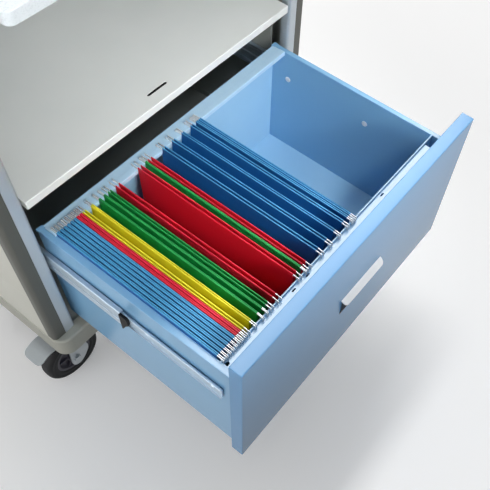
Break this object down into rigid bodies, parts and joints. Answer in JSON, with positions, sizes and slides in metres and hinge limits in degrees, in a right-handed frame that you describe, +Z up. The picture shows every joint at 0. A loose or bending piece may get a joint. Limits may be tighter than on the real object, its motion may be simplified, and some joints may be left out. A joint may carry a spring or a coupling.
{
  "type": "medical chart rack",
  "caption": "Wheeled chart cart with a pull-out hanging-file drawer, an open chart shelf and a sliding work board.",
  "frame": {"origin": "on the floor under the middle of the whole object's box", "axes": "+Z up, the drawer opens towards -Y, +X to the right for someone who faces the drawer"},
  "size_m": [0.79, 1.0358, 0.975],
  "materials": {
    "base_plastic": "fine moulded grain",
    "frame_steel": "black powder coat",
    "inner_paint": "dark grey powder coat",
    "post_aluminium": "satin anodised",
    "cover_plastic": "fine moulded grain",
    "side_plastic": "satin moulded",
    "worktop_plastic": "fine moulded grain",
    "runner_plastic": "smooth moulded",
    "board_laminate": "smooth laminate",
    "shelf_paint": "white powder coat",
    "drawer_paint": "semi-gloss powder coat",
    "rail_paint": "semi-gloss powder coat",
    "pull_dark": "fine moulded grain",
    "pull_light": "satin moulded",
    "zinc_screw": "zinc plated",
    "slide_steel": "zinc plated",
    "ball_steel": "polished",
    "bumper_plastic": "moulded",
    "caster_steel": "zinc plated",
    "tyre_rubber": "matte",
    "hub_plastic": "moulded",
    "pedal_plastic": "moulded",
    "file_blue": "satin polypropylene sheet",
    "file_red": "satin polypropylene sheet",
    "file_yellow": "satin polypropylene sheet",
    "file_green": "satin polypropylene sheet",
    "rod_steel": "plated strip"
  },
  "bodies": {
    "cabinet": {"base_moulding": "base_plastic", "caster_beams": "frame_steel", "base_pan": "inner_paint", "front_posts": "post_aluminium", "rear_posts": "post_aluminium", "corner_covers": "cover_plastic", "side_panels": "side_plastic", "side_liners": "inner_paint", "back_panel": "inner_paint", "top_frame": "frame_steel", "worktop": "worktop_plastic", "board_runners": "runner_plastic", "chart_shelf": "shelf_paint", "shelf_brackets": "frame_steel", "caster_plates": "caster_steel", "cabinet_member_left": "slide_steel", "cabinet_member_right": "slide_steel"},
    "board": {"work_board": "board_laminate"},
    "drawer": {"drawer_front": "drawer_paint", "drawer_backplate": "drawer_paint", "pull_cup": "pull_dark", "pull_hood": "pull_light", "drawer_shell": "drawer_paint", "drawer_liner": "drawer_paint", "rear_rail": "rail_paint", "front_rail": "rail_paint", "wall_screws": "zinc_screw", "drawer_member_left": "slide_steel", "drawer_member_right": "slide_steel"},
    "left_files": {"files_left_blue": "file_blue", "files_left_red": "file_red", "files_left_yellow": "file_yellow", "files_left_green": "file_green", "rods_left": "rod_steel"},
    "middle_files": {"files_middle": "file_red", "rods_middle": "rod_steel"},
    "right_files": {"files_right": "file_blue", "rods_right": "rod_steel"},
    "middle_left": {"middle_member_left": "slide_steel", "slide_bumper_left": "bumper_plastic"},
    "outer_balls_left": {"outer_cage_left": "ball_steel"},
    "inner_balls_left": {"inner_cage_left": "ball_steel"},
    "middle_right": {"middle_member_right": "slide_steel", "slide_bumper_right": "bumper_plastic"},
    "outer_balls_right": {"outer_cage_right": "ball_steel"},
    "inner_balls_right": {"inner_cage_right": "ball_steel"},
    "swivel_front_left": {"fork_front_left": "caster_steel"},
    "wheel_front_left": {"tyre_front_left": "tyre_rubber", "hub_front_left": "hub_plastic"},
    "swivel_front_right": {"fork_front_right": "caster_steel"},
    "wheel_front_right": {"tyre_front_right": "tyre_rubber", "hub_front_right": "hub_plastic"},
    "swivel_rear_left": {"fork_rear_left": "caster_steel"},
    "wheel_rear_left": {"tyre_rear_left": "tyre_rubber", "hub_rear_left": "hub_plastic"},
    "swivel_rear_right": {"fork_rear_right": "caster_steel"},
    "wheel_rear_right": {"tyre_rear_right": "tyre_rubber", "hub_rear_right": "hub_plastic"},
    "brake_front_left": {"pedal_front_left": "pedal_plastic"},
    "brake_front_right": {"pedal_front_right": "pedal_plastic"}
  },
  "joints": [
    {"name": "drawer_slide", "type": "slide", "parent": "cabinet", "child": "drawer", "axis": [0, -1, 0], "range_m": [-0.4, 0]},
    {"name": "middle_left_slide", "type": "slide", "parent": "cabinet", "child": "middle_left", "axis": [0, -1, 0], "range_m": [-0.2, 0]},
    {"name": "outer_balls_left_slide", "type": "slide", "parent": "cabinet", "child": "outer_balls_left", "axis": [0, -1, 0], "range_m": [-0.1, 0]},
    {"name": "inner_balls_left_slide", "type": "slide", "parent": "cabinet", "child": "inner_balls_left", "axis": [0, -1, 0], "range_m": [-0.3, 0]},
    {"name": "middle_right_slide", "type": "slide", "parent": "cabinet", "child": "middle_right", "axis": [0, -1, 0], "range_m": [-0.2, 0]},
    {"name": "outer_balls_right_slide", "type": "slide", "parent": "cabinet", "child": "outer_balls_right", "axis": [0, -1, 0], "range_m": [-0.1, 0]},
    {"name": "inner_balls_right_slide", "type": "slide", "parent": "cabinet", "child": "inner_balls_right", "axis": [0, -1, 0], "range_m": [-0.3, 0]},
    {"name": "board_slide", "type": "slide", "parent": "cabinet", "child": "board", "axis": [0, -1, 0], "range_m": [-0.113, 0.2]},
    {"name": "swivel_front_left", "type": "hinge", "parent": "cabinet", "child": "swivel_front_left", "pos_m": [-0.285, -0.0646, 0.14], "axis": [0, 0, 1], "continuous": true},
    {"name": "wheel_front_left", "type": "hinge", "parent": "swivel_front_left", "child": "wheel_front_left", "pos_m": [-0.323, -0.0646, 0.0625], "axis": [0, 1, 0], "continuous": true},
    {"name": "swivel_front_right", "type": "hinge", "parent": "cabinet", "child": "swivel_front_right", "pos_m": [0.285, -0.0646, 0.14], "axis": [0, 0, 1], "continuous": true},
    {"name": "wheel_front_right", "type": "hinge", "parent": "swivel_front_right", "child": "wheel_front_right", "pos_m": [0.323, -0.0646, 0.0625], "axis": [0, 1, 0], "continuous": true},
    {"name": "swivel_rear_left", "type": "hinge", "parent": "cabinet", "child": "swivel_rear_left", "pos_m": [-0.285, 0.4174, 0.14], "axis": [0, 0, 1], "continuous": true},
    {"name": "wheel_rear_left", "type": "hinge", "parent": "swivel_rear_left", "child": "wheel_rear_left", "pos_m": [-0.285, 0.4554, 0.0625], "axis": [1, 0, 0], "continuous": true},
    {"name": "swivel_rear_right", "type": "hinge", "parent": "cabinet", "child": "swivel_rear_right", "pos_m": [0.285, 0.4174, 0.14], "axis": [0, 0, 1], "continuous": true},
    {"name": "wheel_rear_right", "type": "hinge", "parent": "swivel_rear_right", "child": "wheel_rear_right", "pos_m": [0.285, 0.4554, 0.0625], "axis": [1, 0, 0], "continuous": true},
    {"name": "brake_front_left", "type": "hinge", "parent": "swivel_front_left", "child": "brake_front_left", "pos_m": [-0.345, -0.0646, 0.128], "axis": [0, -1, 0], "range_deg": [0, 12]},
    {"name": "brake_front_right", "type": "hinge", "parent": "swivel_front_right", "child": "brake_front_right", "pos_m": [0.345, -0.0646, 0.128], "axis": [0, 1, 0], "range_deg": [0, 12]},
    {"name": "left_files_slide", "type": "slide", "parent": "drawer", "child": "left_files", "axis": [1, 0, 0], "range_m": [0, 0.03]},
    {"name": "middle_files_slide", "type": "slide", "parent": "drawer", "child": "middle_files", "axis": [1, 0, 0], "range_m": [-0.03, 0.012]},
    {"name": "right_files_slide", "type": "slide", "parent": "drawer", "child": "right_files", "axis": [1, 0, 0], "range_m": [0, 0.2]}
  ],
  "couplings": [
    {"joint": "middle_left_slide", "follows": "drawer_slide", "ratio": 0.5},
    {"joint": "outer_balls_left_slide", "follows": "drawer_slide", "ratio": 0.25},
    {"joint": "inner_balls_left_slide", "follows": "drawer_slide", "ratio": 0.75},
    {"joint": "middle_right_slide", "follows": "drawer_slide", "ratio": 0.5},
    {"joint": "outer_balls_right_slide", "follows": "drawer_slide", "ratio": 0.25},
    {"joint": "inner_balls_right_slide", "follows": "drawer_slide", "ratio": 0.75}
  ]
}
